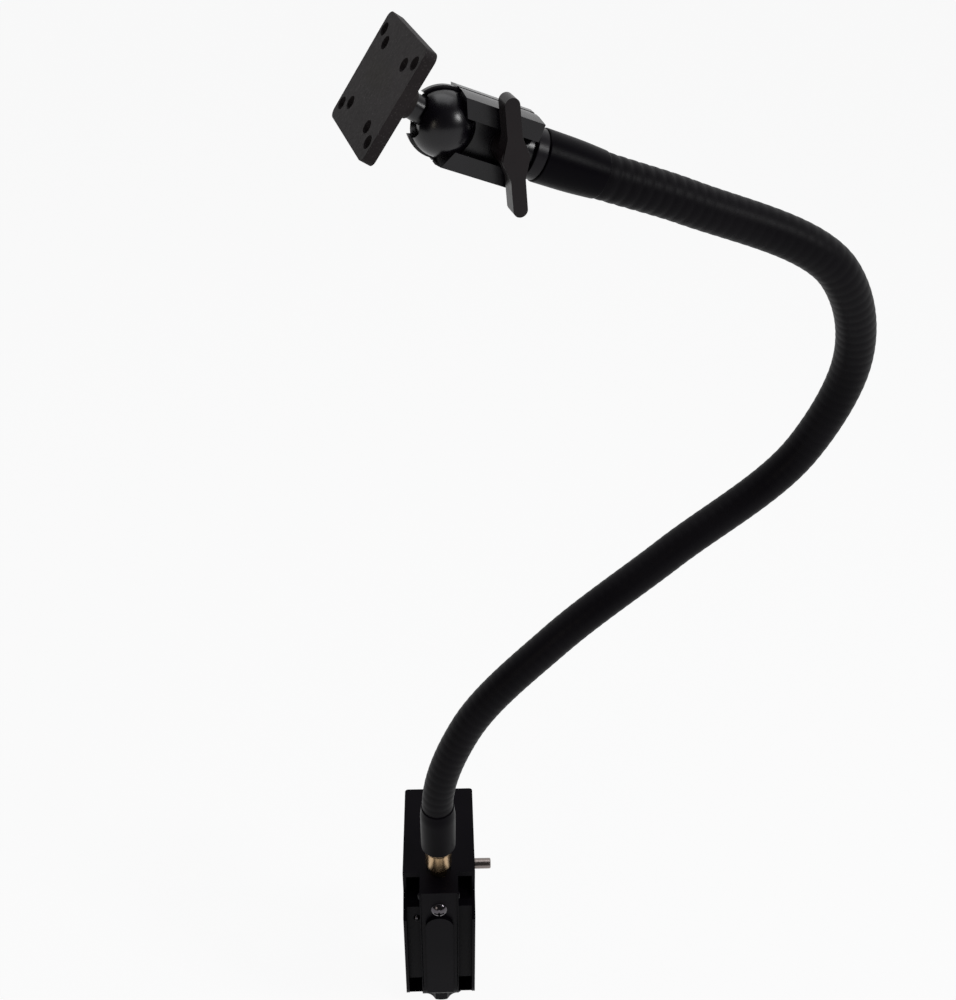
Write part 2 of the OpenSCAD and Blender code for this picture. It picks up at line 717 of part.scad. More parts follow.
module socket_base() {
    head_z = -half_t;
    color([0.1, 0.1, 0.1]) in_head() difference() {
        union() {
            mirror([0, 0, 1]) socket_half();
            difference() {
                translate([0, 0, -split_gap / 2 - rim_round_t]) cylinder(d = rim_round_d, h = rim_round_t);
                ball_space();
            }
            translate([bolt_x, 0, head_z]) cylinder(d = channel_w - 0.4, h = half_t - split_gap / 2);
            translate([socket_len - 3, -channel_w / 2, head_z]) cube([3, channel_w, half_t - split_gap / 2]);
            translate([socket_len - 3, -rail_h + block_chamfer, -flange_t])
                cube([3, socket_h - 2 * block_chamfer, flange_t + 1]);
            along(socket_len - 3) cylinder(d = socket_neck_d, h = socket_neck_len + 3);
        }
        along(ring_x - socket_neck_len - 3) cylinder(d = fitting_pin_d, h = socket_neck_len + 3 + cut);
        translate([bolt_x, 0, head_z - cut]) cylinder(d = bolt_d, h = socket_t);
        translate([bolt_x, 0, head_z - cut]) cylinder(d = bolt_af / cos(30), h = bolt_head_h + cut, $fn = 6);
        translate([bolt_x, 0, -spring_seat]) cylinder(d = spring_d + 0.6, h = spring_seat);
    }
}

module socket_cap() {
    color([0.1, 0.1, 0.1]) in_head() difference() {
        socket_half();
        // Clears the neck's root and the step on the base
        translate([socket_len - 3 - 0.4, -rail_h - cut, 0]) cube([4, socket_h + 2 * cut, 1.5]);
        along(socket_len - 3.4) cylinder(d = socket_neck_d + 0.8, h = 4);
        translate([bolt_x, 0, 0]) cylinder(d = bolt_d + 1, h = socket_t);
    }
}

// Hex bolt through both halves
module socket_bolt() {
    color([0.7, 0.7, 0.7]) in_head() translate([bolt_x, 0, -half_t]) {
        cylinder(d = (bolt_af - 0.1) / cos(30), h = bolt_head_h, $fn = 6);
        turned(bolt_d, half_t + hub_top - 3, bevel);
    }
}

// Coil spring that opens the socket when the knob is slack
module socket_spring() {
    r = (spring_d - spring_wire) / 2;
    low = spring_wire / 2 - spring_seat;
    rise = spring_seat + split_gap / 2 - spring_wire;
    rings = spring_coils * 12;
    wire_sides = 6;
    points = [for (i = [0 : rings], k = [0 : wire_sides - 1]) let (a = 30 * i, b = 360 * k / wire_sides,
        out = r + spring_wire / 2 * cos(b))
        [out * cos(a), out * sin(a), low + rise * i / rings + spring_wire / 2 * sin(b)]];
    faces = concat([[for (k = [0 : wire_sides - 1]) k]],
        [for (i = [0 : rings - 1], k = [0 : wire_sides - 1])
            let (n = (k + 1) % wire_sides, a = i * wire_sides, b = a + wire_sides)
                each [[a + k, b + k, b + n], [a + k, b + n, a + n]]],
        [[for (k = [wire_sides - 1 : -1 : 0]) rings * wire_sides + k]]);
    color([0.6, 0.6, 0.6]) in_head() translate([bolt_x, 0, 0]) polyhedron(points, faces);
}

module knob_washer() {
    color([0.7, 0.7, 0.72]) in_head() translate([bolt_x, 0, floor_z]) difference() {
        cylinder(d = hub_d + 0.8, h = washer_t);
        translate([0, 0, -cut]) cylinder(d = bolt_d + 0.6, h = washer_t + 2 * cut);
    }
}

// Moulded knob with two wings
module wing_knob() {
    low = floor_z + washer_t;
    tip = wing_tip_w / 2;
    reach = wing_span / 2 - tip;
    root = wing_root_w / 2;
    color([0.1, 0.1, 0.1]) in_head() translate([bolt_x, 0, 0]) difference() {
        union() {
            translate([0, 0, low]) turned(hub_d, hub_top - bevel - low, bevel);
            for (a = [wing_turn, wing_turn + 180]) rotate(a)
                translate([0, 0, hub_top - wing_t]) linear_extrude(wing_t) {
                    polygon([[0, -root], [wing_flare, -tip], [reach, -tip], [reach, tip], [wing_flare, tip],
                        [0, root]]);
                    translate([reach, 0]) circle(tip);
                }
        }
        translate([0, 0, low - cut]) cylinder(d = bolt_d + 2.4, h = hub_top - low - 2 + cut);
    }
}

module knob_insert() {
    low = floor_z + washer_t;
    color([0.75, 0.6, 0.35]) in_head() translate([bolt_x, 0, low]) difference() {
        cylinder(d = bolt_d + 2.4, h = hub_top - low - 2);
        translate([0, 0, -cut]) cylinder(d = bolt_d + 0.12, h = hub_top);
    }
}

module ball_stud() {
    color([0.1, 0.1, 0.1]) in_plate() {
        sphere(ball_r);
        along(-boss_x) cylinder(d = neck_d, h = boss_x);
        along(-boss_x - 7.5) turned(spigot_d, 8, 0.5);
    }
}

module mounting_plate() {
    boss_root = plate_x - plate_t + 0.5;
    color([0.27, 0.25, 0.25]) in_plate() difference() {
        union() {
            along(-plate_x) linear_extrude(plate_t) translate([-plate_l / 2, -plate_w / 2])
                rounded(plate_l, plate_w, plate_r);
            along(-boss_root) cylinder(d1 = boss_d, d2 = boss_end_d, h = boss_root - boss_x);
        }
        along(-boss_x - 8) cylinder(d = spigot_d + 2 * spigot_gap, h = 8 + cut);
        for (z = [-outer_l / 2, outer_l / 2], y = [-outer_w / 2, outer_w / 2]) translate([0, y, z])
            along(-plate_x - cut) cylinder(d = plate_hole_d, h = plate_t + 2 * cut);
        for (z = [-inner_s / 2, inner_s / 2], y = [-inner_s / 2, inner_s / 2]) translate([0, y, z])
            along(-plate_x - cut) cylinder(d = plate_hole_d, h = plate_t + 2 * cut);
    }
}

clamp_body();
jaw_pad();
lock_screw();
side_screw();
cross_pin();
threaded_bush();
foot_cup();
foot_face();
foot_ring();
clamp_spindle();
turning_knob();
stud_adapter();
lower_collar();
gooseneck_core();
gooseneck_sheath();
upper_collar();
head_fitting();
ferrule_ring();
socket_base();
socket_cap();
socket_bolt();
socket_spring();
knob_washer();
wing_knob();
knob_insert();
ball_stud();
mounting_plate();
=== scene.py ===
import math

import bmesh
import bpy
from mathutils import Euler, Matrix, Vector


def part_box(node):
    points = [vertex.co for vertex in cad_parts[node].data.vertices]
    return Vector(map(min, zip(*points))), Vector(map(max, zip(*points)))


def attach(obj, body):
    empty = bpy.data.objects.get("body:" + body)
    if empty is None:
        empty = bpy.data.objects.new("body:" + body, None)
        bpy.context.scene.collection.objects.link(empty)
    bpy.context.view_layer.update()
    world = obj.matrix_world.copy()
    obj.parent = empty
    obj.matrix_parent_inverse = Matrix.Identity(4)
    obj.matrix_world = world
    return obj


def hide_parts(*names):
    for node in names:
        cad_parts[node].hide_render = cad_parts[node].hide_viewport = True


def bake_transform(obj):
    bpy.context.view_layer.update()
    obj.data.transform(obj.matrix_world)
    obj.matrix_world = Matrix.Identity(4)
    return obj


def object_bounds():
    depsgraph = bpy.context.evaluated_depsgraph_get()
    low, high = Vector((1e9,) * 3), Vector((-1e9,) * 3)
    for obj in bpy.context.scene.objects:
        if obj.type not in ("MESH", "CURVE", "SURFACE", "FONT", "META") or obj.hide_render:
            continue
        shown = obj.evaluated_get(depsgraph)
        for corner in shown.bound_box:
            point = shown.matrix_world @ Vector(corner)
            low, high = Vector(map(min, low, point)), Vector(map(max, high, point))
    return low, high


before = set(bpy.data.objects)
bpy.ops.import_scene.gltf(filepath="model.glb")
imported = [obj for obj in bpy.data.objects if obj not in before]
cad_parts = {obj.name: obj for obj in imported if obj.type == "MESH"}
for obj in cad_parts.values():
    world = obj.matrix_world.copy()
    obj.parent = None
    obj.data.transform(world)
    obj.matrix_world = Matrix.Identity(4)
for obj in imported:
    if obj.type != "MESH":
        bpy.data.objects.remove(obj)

cad_low, cad_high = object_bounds()
MM = 0.001

# Camera. It stands in front of the clamp's spine and looks down on the arm, as the photograph does.
# The photograph's frame is 956 x 1000 and its sight line meets it 37 pixels above the middle.
FRAME_LONG = 1000
FOCAL_PIXELS = 1080
SIGHT_LINE_UP = 37
camera_data = bpy.data.cameras.new("camera")
camera_data.sensor_width = 36.0
camera_data.lens = camera_data.sensor_width * FOCAL_PIXELS / FRAME_LONG
camera_data.shift_y = -SIGHT_LINE_UP / FRAME_LONG
camera_data.clip_start = 0.05
camera_data.clip_end = 40
camera = bpy.data.objects.new("camera", camera_data)
bpy.context.scene.collection.objects.link(camera)
camera_place = Vector((6.1, -434.8, 586.9)) * MM
camera_pitch = math.radians(31.72)
camera_yaw = math.radians(2.12)
camera_roll = math.radians(0.45)
camera.matrix_world = (Matrix.Translation(camera_place)
                       @ Matrix.Rotation(-camera_yaw, 4, "Z")
                       @ Matrix.Rotation(math.pi / 2 - camera_pitch, 4, "X")
                       @ Matrix.Rotation(camera_roll, 4, "Z"))
bpy.context.scene.camera = camera


# Materials are node trees. This makes an empty one and gives back its nodes, its links and its shader.
def new_material(name):
    material = bpy.data.materials.new(name)
    material.use_nodes = True
    nodes = material.node_tree.nodes
    return material, nodes, material.node_tree.links, nodes["Principled BSDF"]


# One for a ray that sees the background as it is: camera, mirror and clear rays, but not soft light.
def seen_by_ray(nodes, links):
    paths = nodes.new("ShaderNodeLightPath")
    mirror = nodes.new("ShaderNodeMath")
    mirror.operation = "ADD"
    mirror.use_clamp = True
    links.new(paths.outputs["Is Camera Ray"], mirror.inputs[0])
    links.new(paths.outputs["Is Glossy Ray"], mirror.inputs[1])
    clear = nodes.new("ShaderNodeMath")
    clear.operation = "ADD"
    clear.use_clamp = True
    links.new(mirror.outputs[0], clear.inputs[0])
    links.new(paths.outputs["Is Transmission Ray"], clear.inputs[1])
    return clear.outputs[0]


# Floor and backdrop: a plain pale sheet that clears the turning knob wound right down, and white all round.
# They show as white in themselves, and the floor keeps the object's soft shadow.
FLOOR_HALF = 6
FLOOR_DROP = 20.5 * MM
floor_mesh = bmesh.new()
bmesh.ops.create_grid(floor_mesh, x_segments=1, y_segments=1, size=FLOOR_HALF)
bmesh.ops.translate(floor_mesh, vec=(0, 0, cad_low.z - FLOOR_DROP), verts=floor_mesh.verts)
floor_data = bpy.data.meshes.new("floor")
floor_mesh.to_mesh(floor_data)
floor_mesh.free()
floor = bpy.data.objects.new("floor", floor_data)
bpy.context.scene.collection.objects.link(floor)
floor_white, nodes, links, shader = new_material("floor_white")
shader.inputs["Base Color"].default_value = (0.86, 0.86, 0.87, 1)
shader.inputs["Roughness"].default_value = 0.9
shader.inputs["Specular IOR Level"].default_value = 0.1
glow = nodes.new("ShaderNodeEmission")
glow.inputs["Strength"].default_value = 1.0
share = nodes.new("ShaderNodeMath")
share.operation = "MULTIPLY"
share.inputs[1].default_value = 0.92
mix = nodes.new("ShaderNodeMixShader")
links.new(seen_by_ray(nodes, links), share.inputs[0])
links.new(share.outputs[0], mix.inputs[0])
links.new(shader.outputs[0], mix.inputs[1])
links.new(glow.outputs[0], mix.inputs[2])
links.new(mix.outputs[0], nodes["Material Output"].inputs["Surface"])
floor_data.materials.append(floor_white)

# World: white to the camera on every side, and soft cool light on the object.
# Mirrors see white behind the object and a dim room in front of it.
world = bpy.data.worlds.new("studio")
bpy.context.scene.world = world
world.use_nodes = True
sky = world.node_tree.nodes
sky_links = world.node_tree.links
soft_sky = sky["Background"]
soft_sky.inputs["Color"].default_value = (0.94, 0.96, 1.0, 1)
soft_sky.inputs["Strength"].default_value = 0.3
seen_sky = sky.new("ShaderNodeBackground")
seen_sky.inputs["Color"].default_value = (1, 1, 1, 1)
sight = sky.new("ShaderNodeTexCoord")
sides = sky.new("ShaderNodeSeparateXYZ")
sky_links.new(sight.outputs["Generated"], sides.inputs[0])
room = sky.new("ShaderNodeMapRange")
room.inputs["From Min"].default_value = -0.3
room.inputs["From Max"].default_value = 0.45
room.inputs["To Min"].default_value = 0.06
room.inputs["To Max"].default_value = 1.0
sky_links.new(sides.outputs["Y"], room.inputs["Value"])
direct = sky.new("ShaderNodeLightPath")
bright = sky.new("ShaderNodeMath")
bright.operation = "MAXIMUM"
sky_links.new(room.outputs["Result"], bright.inputs[0])
sky_links.new(direct.outputs["Is Camera Ray"], bright.inputs[1])
sky_links.new(bright.outputs[0], seen_sky.inputs["Strength"])
sky_mix = sky.new("ShaderNodeMixShader")
sky_links.new(seen_by_ray(sky, sky_links), sky_mix.inputs[0])
sky_links.new(soft_sky.outputs[0], sky_mix.inputs[1])
sky_links.new(seen_sky.outputs[0], sky_mix.inputs[2])
sky_links.new(sky_mix.outputs[0], sky["World Output"].inputs["Surface"])


# Lamps: a white soft box on the right in front, a dim warm one on the left, and a broad one above.
def soft_box(name, place, target, size, power, colour):
    data = bpy.data.lights.new(name, "AREA")
    data.shape = "RECTANGLE"
    data.size, data.size_y = size
    data.energy = power
    data.color = colour
    lamp = bpy.data.objects.new(name, data)
    lamp.location = place
    lamp.rotation_euler = (Vector(target) - Vector(place)).to_track_quat("-Z", "Y").to_euler()
    bpy.context.scene.collection.objects.link(lamp)


soft_box("right_light", (1.35, -0.75, 1.15), (0.05, 0, 0.35), (0.3, 0.45), 11, (1, 1, 1))
soft_box("left_light", (-0.9, -1.35, 0.75), (0.05, 0, 0.3), (0.45, 0.45), 2.5, (1, 0.9, 0.75))
soft_box("top_light", (0.1, 0.3, 1.9), (0.05, 0, 0.2), (1.2, 1.0), 7, (0.97, 0.98, 1))


# Clamp body. One black glass-filled moulding: a C with a column down its spine and open pockets beside it.
# It comes out of the mould with small round edges and a fine satin grain.
WELD_DISTANCE = 0.002 * MM
FLAT_ANGLE = math.radians(0.5)
BODY_EDGE = 0.5 * MM


# A copy of a carried-over solid, welded into one mesh whose flat faces are whole.
def merged_copy(node):
    shape = bmesh.new()
    shape.from_mesh(bpy.data.objects[node].data)
    bmesh.ops.remove_doubles(shape, verts=shape.verts, dist=WELD_DISTANCE)
    bmesh.ops.dissolve_limit(shape, angle_limit=FLAT_ANGLE, verts=shape.verts, edges=shape.edges,
                             delimit={"NORMAL"})
    return shape


# Rounds the edges of a shape that are sharper than an angle in degrees.
def round_edges(shape, radius, sharp=35, segments=2):
    edges = [e for e in shape.edges
             if len(e.link_faces) == 2 and e.calc_face_angle(0) > math.radians(sharp)]
    bmesh.ops.bevel(shape, geom=edges, offset=radius, offset_type="OFFSET", affect="EDGES",
                    segments=segments, profile=0.5, material=-1, clamp_overlap=True)


# Makes a shape a piece of the scene: smooth but for its sharp edges, with its material and body, in place of
# the part it stands for.
def finish_piece(name, shape, material, body, stands_for=None, smooth=40):
    for face in shape.faces:
        face.smooth = True
    for edge in shape.edges:
        edge.smooth = len(edge.link_faces) != 2 or edge.calc_face_angle(0) < math.radians(smooth)
    data = bpy.data.meshes.new(name)
    shape.to_mesh(data)
    shape.free()
    data.materials.append(material)
    piece = bpy.data.objects.new(name, data)
    bpy.context.scene.collection.objects.link(piece)
    flat = piece.modifiers.new("flat_faces_stay_flat", "WEIGHTED_NORMAL")
    flat.keep_sharp = True
    if body:
        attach(piece, body)
    if stands_for:
        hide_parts(stands_for)
    return piece


# A noise that is fixed in the piece's own coordinates.
def noise_at(nodes, links, place, scale, detail):
    noise = nodes.new("ShaderNodeTexNoise")
    noise.inputs["Scale"].default_value = scale
    noise.inputs["Detail"].default_value = detail
    links.new(place.outputs["Object"], noise.inputs["Vector"])
    return noise.outputs["Fac"]


# Gives a shader a fine grain in its roughness and bump, and slow clouds in its colour.
CLOUD_SCALE = 0.04
GRAIN_DEPTH = 0.1 * MM


def add_grain(nodes, links, shader, dark, light, scale, rough, bump):
    place = nodes.new("ShaderNodeTexCoord")
    noise = noise_at(nodes, links, place, scale, 5)
    cloud = noise_at(nodes, links, place, scale * CLOUD_SCALE, 3)
    tint = nodes.new("ShaderNodeValToRGB")
    tint.color_ramp.elements[0].position = 0.35
    tint.color_ramp.elements[0].color = (*dark, 1)
    tint.color_ramp.elements[1].position = 0.7
    tint.color_ramp.elements[1].color = (*light, 1)
    links.new(cloud, tint.inputs["Fac"])
    links.new(tint.outputs["Color"], shader.inputs["Base Color"])
    spread = nodes.new("ShaderNodeMapRange")
    spread.inputs["To Min"].default_value = rough[0]
    spread.inputs["To Max"].default_value = rough[1]
    links.new(noise, spread.inputs["Value"])
    links.new(spread.outputs["Result"], shader.inputs["Roughness"])
    grain = nodes.new("ShaderNodeBump")
    grain.inputs["Strength"].default_value = bump
    grain.inputs["Distance"].default_value = GRAIN_DEPTH
    links.new(noise, grain.inputs["Height"])
    links.new(grain.outputs["Normal"], shader.inputs["Normal"])


# A satin or glossy black for the object's mouldings, sleeves and rubber.
def black_material(name, dark, light, gloss, scale, rough, bump):
    material, nodes, links, shader = new_material(name)
    shader.inputs["Specular IOR Level"].default_value = gloss
    add_grain(nodes, links, shader, dark, light, scale, rough, bump)
    return material


moulded_black = black_material("moulded_black", (0.0016, 0.0011, 0.0024), (0.003, 0.0022, 0.0038), 0.04,
                               900, (0.34, 0.48), 0.12)
body_shape = merged_copy("clamp_body")
round_edges(body_shape, BODY_EDGE)
finish_piece("clamp_body_moulding", body_shape, moulded_black, "clamp", "clamp_body")


# Jaw pad: a rubber sheet, cut to size and glued under the upper jaw.
# Shallow grooves across it grip the table.
PAD_CORNER = 2 * MM
PAD_EDGE = 0.2 * MM
GRIP_DEPTH = 0.5 * MM
GRIP_PITCH = 4.0 * MM
GRIP_GROOVE = 1.0 * MM
GRIP_HIGH = 0.6 * MM
GRIP_INSET = 1 * MM
GRIP_CORNER = 0.8 * MM
GRIP_EDGE = 0.15 * MM


# A block between two corners, with its upright edges rounded.
def rounded_block(low, high, radius, segments=4):
    shape = bmesh.new()
    bmesh.ops.create_cube(shape, size=1)
    size = high - low
    bmesh.ops.scale(shape, vec=size, verts=shape.verts)
    bmesh.ops.translate(shape, vec=(low + high) / 2, verts=shape.verts)
    upright = [e for e in shape.edges if abs(e.verts[0].co.z - e.verts[1].co.z) > size.z / 2]
    bmesh.ops.bevel(shape, geom=upright, offset=radius, offset_type="OFFSET", affect="EDGES",
                    segments=segments, profile=0.5, material=-1, clamp_overlap=True)
    return shape


# Adds a second shape to the first and frees it.
def join(shape, other):
    data = bpy.data.meshes.new("joined")
    other.to_mesh(data)
    other.free()
    shape.from_mesh(data)
    bpy.data.meshes.remove(data)


rubber = black_material("rubber", (0.008, 0.008, 0.009), (0.015, 0.015, 0.016), 0.15, 1400,
                        (0.7, 0.85), 0.35)
pad_low, pad_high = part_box("jaw_pad")
pad_shape = rounded_block(pad_low + Vector((0, 0, GRIP_DEPTH)), pad_high, PAD_CORNER)
round_edges(pad_shape, PAD_EDGE)
grip_count = int((pad_high.y - pad_low.y - 2 * PAD_CORNER) / GRIP_PITCH)
grip_start = (pad_low.y + pad_high.y - grip_count * GRIP_PITCH + GRIP_GROOVE) / 2
for k in range(grip_count):
    y = grip_start + k * GRIP_PITCH
    bar_low = Vector((pad_low.x + GRIP_INSET, y, pad_low.z))
    bar_high = Vector((pad_high.x - GRIP_INSET, y + GRIP_PITCH - GRIP_GROOVE, pad_low.z + GRIP_HIGH))
    bar = rounded_block(bar_low, bar_high, GRIP_CORNER)
    round_edges(bar, GRIP_EDGE)
    join(pad_shape, bar)
finish_piece("jaw_pad_rubber", pad_shape, rubber, "clamp", "jaw_pad")


# Metals: plated or bare, each with its own colour, gloss and fine marks.
def metal_material(name, dark, light, scale, rough, bump):
    material, nodes, links, shader = new_material(name)
    shader.inputs["Metallic"].default_value = 1.0
    add_grain(nodes, links, shader, dark, light, scale, rough, bump)
    return material


# A piece made on a lathe, a press or in a mould: its carried-over solid, with edges rounded in millimetres.
def dressed_copy(node, material, body, radius, segments=2, sharp=35):
    shape = merged_copy(node)
    round_edges(shape, radius * MM, sharp, segments)
    return finish_piece(node + "_finished", shape, material, body, node)


# Locking screw and side screw: plated steel screws with dome heads and a cross recess.
# The first locks the adapter's stud in the clamp's column, and the second is set in the wall beside it.
chrome_screw = metal_material("chrome_screw", (0.04, 0.036, 0.044), (0.12, 0.11, 0.12), 300,
                              (0.12, 0.26), 0.15)
dressed_copy("lock_screw", chrome_screw, "clamp", 0.15)
dressed_copy("side_screw", chrome_screw, "clamp", 0.1)

# Threaded bush: turned steel, plated with zinc, with the spindle's thread inside.
# It is pressed into the lower jaw with its flange below.
zinc = metal_material("zinc", (0.42, 0.43, 0.45), (0.6, 0.61, 0.62), 700, (0.25, 0.4), 0.1)
dressed_copy("threaded_bush", zinc, "clamp", 0.25)

# Cross pin: plain bright steel bar with broken ends.
# It slides through the clamp and the groove of the adapter's stud, and keeps the arm in the clamp.
steel = metal_material("steel", (0.2, 0.17, 0.16), (0.36, 0.33, 0.31), 600, (0.24, 0.36), 0.08)
dressed_copy("cross_pin", steel, "pin", 0.15)


# Turned pieces are spun from half a section, given as radius and height in millimetres.
SPUN_WELD = 0.001 * MM


def turned(outline, sides=96):
    shape = bmesh.new()
    points = [shape.verts.new((r * MM, 0, z * MM)) for r, z in outline]
    edges = [shape.edges.new((points[i], points[(i + 1) % len(points)])) for i in range(len(points))]
    bmesh.ops.spin(shape, geom=points + edges, cent=(0, 0, 0), axis=(0, 0, 1), angle=2 * math.pi,
                   steps=sides, use_merge=True, use_duplicate=False)
    bmesh.ops.remove_doubles(shape, verts=shape.verts, dist=SPUN_WELD)
    bmesh.ops.dissolve_degenerate(shape, dist=SPUN_WELD / 2, edges=shape.edges)
    bmesh.ops.recalc_face_normals(shape, faces=shape.faces)
    return shape


# Quarter-round from one point to the next of a section, bulging towards the corner between them.
def rounded_corner(corner, before, after, radius, steps=4):
    start = Vector(corner) + (Vector(before) - Vector(corner)).normalized() * radius
    end = Vector(corner) + (Vector(after) - Vector(corner)).normalized() * radius
    points = []
    for k in range(steps + 1):
        t = k / steps
        points.append(tuple(start * (1 - t) ** 2 + Vector(corner) * 2 * t * (1 - t) + end * t ** 2))
    return points


# A closed section whose corners are rounded by the radius that each one has as its third value.
def rounded_section(corners):
    points = []
    count = len(corners)
    for i, (r, z, radius) in enumerate(corners):
        if radius:
            points += rounded_corner((r, z), corners[i - 1][:2], corners[(i + 1) % count][:2], radius)
        else:
            points.append((r, z))
    return points


# Foot: a moulded cup that swivels on the spindle's ball, with a ringed rubber face pressed into its top.
# A sprung steel ring keeps it on the ball.
SPINDLE = Vector((0, 33, 0))
FACE_EDGE = 0.4
FACE_RINGS = 4
FACE_RING_PITCH = 2.6
FACE_RING_WIDE = 1.6
FACE_GROOVE_DEPTH = 0.5
FACE_GROOVE_SLOPE = 0.2
foot_low, foot_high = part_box("foot_face")
dressed_copy("foot_cup", moulded_black, "foot", 0.4)
face_r = (foot_high.x - foot_low.x) / 2 / MM
face_z = foot_low.z / MM
face_top = foot_high.z / MM
groove_z = face_top - FACE_GROOVE_DEPTH
face_section = [(0, face_z), (face_r - FACE_EDGE, face_z), (face_r, face_z + FACE_EDGE),
                (face_r, face_top - FACE_EDGE)]
for k in range(FACE_RINGS):
    out = face_r - FACE_EDGE - FACE_RING_PITCH * k
    face_section += [(out, face_top), (out - FACE_RING_WIDE, face_top),
                     (out - FACE_RING_WIDE - FACE_GROOVE_SLOPE, groove_z),
                     (out - FACE_RING_PITCH + FACE_GROOVE_SLOPE, groove_z)]
face_section.append((0, groove_z))
face_shape = turned(face_section)
bmesh.ops.translate(face_shape, vec=SPINDLE * MM, verts=face_shape.verts)
finish_piece("foot_face_rubber", face_shape, rubber, "foot", "foot_face")
dressed_copy("foot_ring", steel, "foot", 0.1)

# Clamp spindle: steel screw with a cut thread, a turned neck and a ball that the foot swivels on.
# The thread is one coil, which runs out at both ends against a flat face.
THREAD_PITCH = 1.5
THREAD_DEPTH = 0.75
THREAD_FORM = (0.0, 0.35, 1.0, 1.0, 0.35, 0.0)
THREAD_END = 1.2
THREAD_END_SHARE = 0.86
END_FACE_SHARE = 0.87
COIL_SIDES = 48
NECK_LONG = 3
NECK_SHARE = 0.62
SHOULDER = (1, 0.8)
TIP_R = 4.5
TIP_STEPS = 24
spindle_low, spindle_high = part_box("clamp_spindle")
spindle_r = (spindle_high.x - spindle_low.x) / 2 / MM
bottom = spindle_low.z / MM
thread_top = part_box("foot_cup")[0].z / MM - NECK_LONG
neck_r = TIP_R * NECK_SHARE
shoulder_r = neck_r + SHOULDER[0]
tip_section = [(0, thread_top - THREAD_END), (shoulder_r, thread_top - THREAD_END), (shoulder_r, thread_top),
               (neck_r, thread_top + SHOULDER[1])]
tip_middle = spindle_high.z / MM - TIP_R
join_angle = math.asin(neck_r / TIP_R)
for k in range(TIP_STEPS + 1):
    a = join_angle + (math.pi - join_angle) * k / TIP_STEPS
    tip_section.append((TIP_R * math.sin(a), tip_middle - TIP_R * math.cos(a)))
thread = turned(tip_section, COIL_SIDES)
form_steps = len(THREAD_FORM)
coil_turns = (thread_top - bottom) / THREAD_PITCH
rows = []
for i in range(int((coil_turns + 2) * form_steps) + 1):
    row = []
    for j in range(COIL_SIDES):
        z = bottom + THREAD_PITCH * (i / form_steps + j / COIL_SIDES - 1)
        full = min(1, max(0, z - bottom) / THREAD_END, max(0, thread_top - z) / THREAD_END)
        r = ((spindle_r - THREAD_DEPTH * (1 - THREAD_FORM[i % form_steps]))
             * (THREAD_END_SHARE + (1 - THREAD_END_SHARE) * full))
        a = 2 * math.pi * j / COIL_SIDES
        z = min(thread_top, max(bottom, z))
        row.append(thread.verts.new((r * math.cos(a) * MM, r * math.sin(a) * MM, z * MM)))
    rows.append(row)
for i in range(len(rows) - 1 - form_steps):
    for j in range(COIL_SIDES - 1):
        thread.faces.new((rows[i][j], rows[i][j + 1], rows[i + 1][j + 1], rows[i + 1][j]))
    thread.faces.new((rows[i][-1], rows[i + form_steps][0], rows[i + form_steps + 1][0], rows[i + 1][-1]))
bmesh.ops.delete(thread, geom=[v for v in thread.verts if not v.link_faces], context="VERTS")
for z in (bottom, thread_top):
    cap = bmesh.ops.create_circle(thread, cap_ends=True, radius=END_FACE_SHARE * spindle_r * MM,
                                  segments=COIL_SIDES)
    bmesh.ops.translate(thread, vec=(0, 0, z * MM), verts=cap["verts"])
bmesh.ops.remove_doubles(thread, verts=thread.verts, dist=SPUN_WELD)
bmesh.ops.recalc_face_normals(thread, faces=thread.faces)
bmesh.ops.translate(thread, vec=SPINDLE * MM, verts=thread.verts)
finish_piece("clamp_spindle_threaded", thread, steel, "spindle", "clamp_spindle", 55)

# Turning knob: black moulding with six finger hollows and well rounded edges.
# It is pressed onto the lower end of the spindle.
dressed_copy("turning_knob", moulded_black, "spindle", 1.2, 4)

# Stud adapter: turned, polished and yellow-plated. A plain body with a rim that the lower sleeve stands on.
# Its stud goes down into the clamp's column, and its tail goes up into the sleeve.
adapter_yellow = metal_material("adapter_yellow", (0.5, 0.32, 0.16), (0.68, 0.54, 0.37), 200,
                                (0.21, 0.31), 0.06)
dressed_copy("stud_adapter", adapter_yellow, "arm_base", 0.45, 4)

# Lower sleeve: satin black tube over the adapter's tail and the core's end, drawn in at its top.
# Both sleeves are wide inside for a tail or fitting of one depth, and narrow for the core beyond it.
TAIL_BORE = 8.4
TAIL_DEPTH = 16
NARROW_BORE = 6.6
LOWER_TIP_R = 9.7
LOWER_TIP_LONG = 6
sleeve_black = black_material("sleeve_black", (0.0014, 0.001, 0.0022), (0.0028, 0.002, 0.0036), 0.04, 700,
                              (0.32, 0.44), 0.06)
collar_low, collar_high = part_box("lower_collar")
collar_r = (collar_high.x - collar_low.x) / 2 / MM
z0 = collar_low.z / MM
z1 = collar_high.z / MM
lower_section = rounded_section([(TAIL_BORE, z0, 0), (collar_r, z0, 1.2),
                                 (collar_r, z1 - LOWER_TIP_LONG, 2.5), (LOWER_TIP_R, z1, 0.5),
                                 (NARROW_BORE, z1, 0), (NARROW_BORE, z0 + TAIL_DEPTH, 0),
                                 (TAIL_BORE, z0 + TAIL_DEPTH, 0)])
finish_piece("lower_sleeve", turned(lower_section), sleeve_black, "arm_base", "lower_collar")
